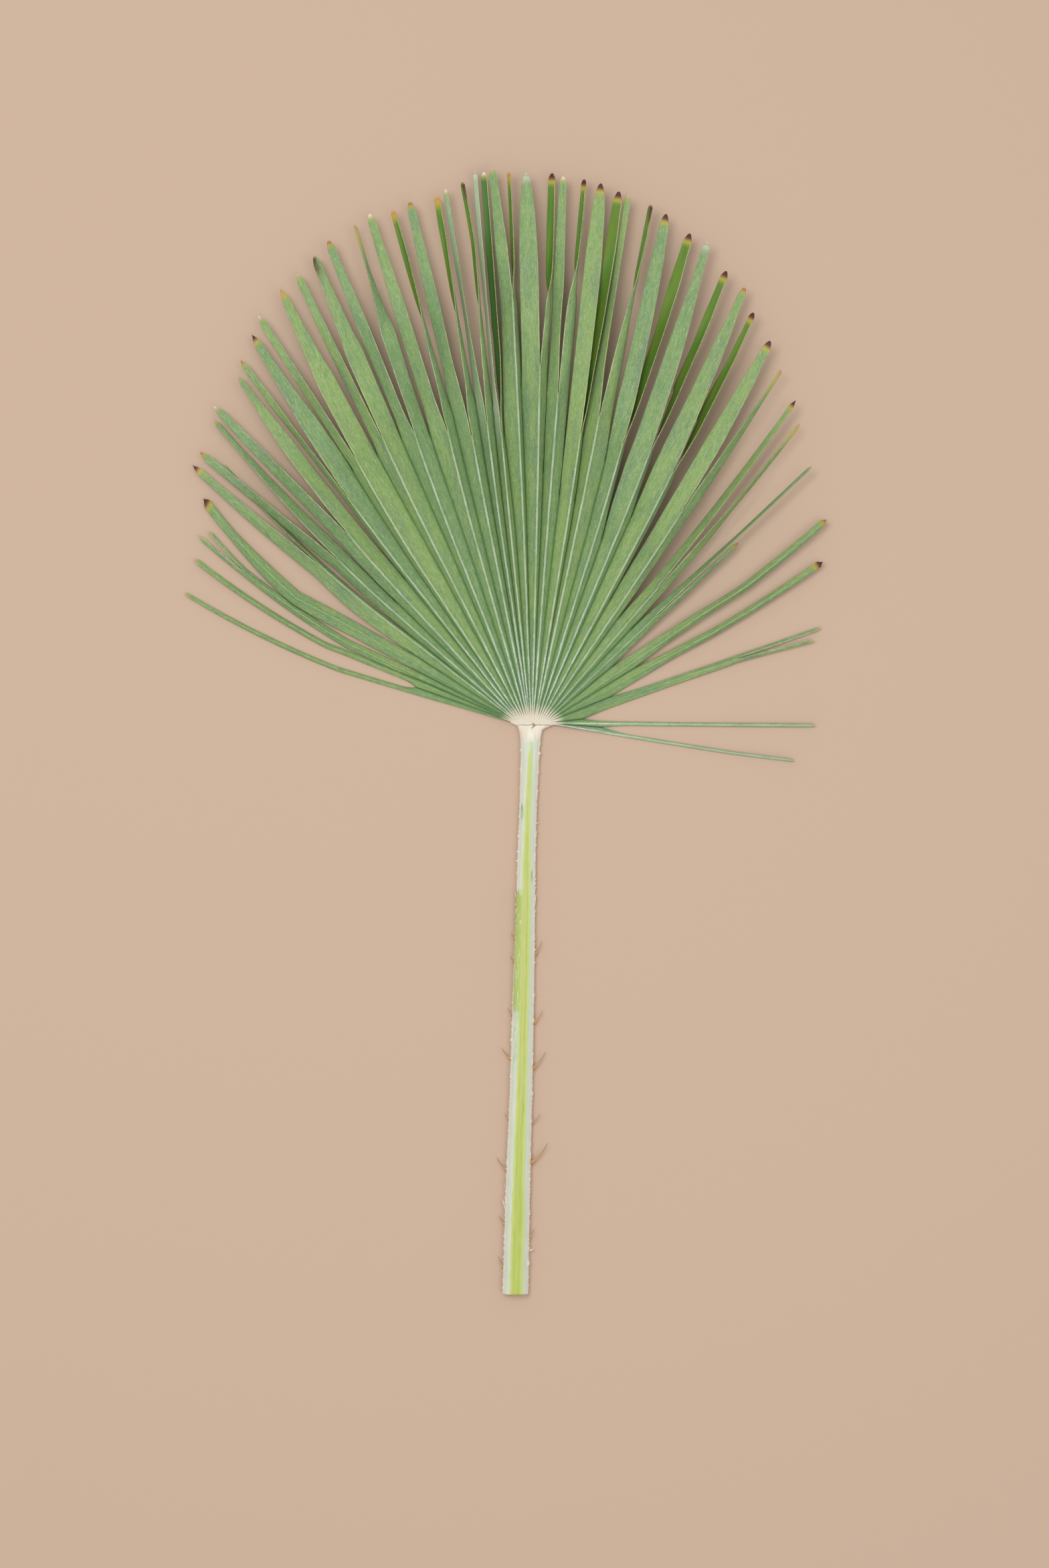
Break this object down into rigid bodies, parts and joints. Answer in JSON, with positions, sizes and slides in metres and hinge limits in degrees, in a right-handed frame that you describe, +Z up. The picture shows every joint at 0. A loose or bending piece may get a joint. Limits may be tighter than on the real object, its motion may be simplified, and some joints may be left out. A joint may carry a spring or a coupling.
{
  "type": "fan palm frond",
  "caption": "Cut fan palm leaf lying grey-green side up: a pleated fan of forked segments on a spiny cream and lime stalk.",
  "frame": {"origin": "where the folds of the blade meet the stalk, on the surface that the leaf lies on", "axes": "+Y from the stalk towards the top of the fan, +Z up from the surface, out of the leaf's underside"},
  "size_m": [0.481, 0.842, 0.0318],
  "materials": {
    "blade": "matte",
    "stalk": "satin"
  },
  "bodies": {
    "root": {"fan_blade": "blade", "petiole": "stalk"}
  },
  "joints": []
}
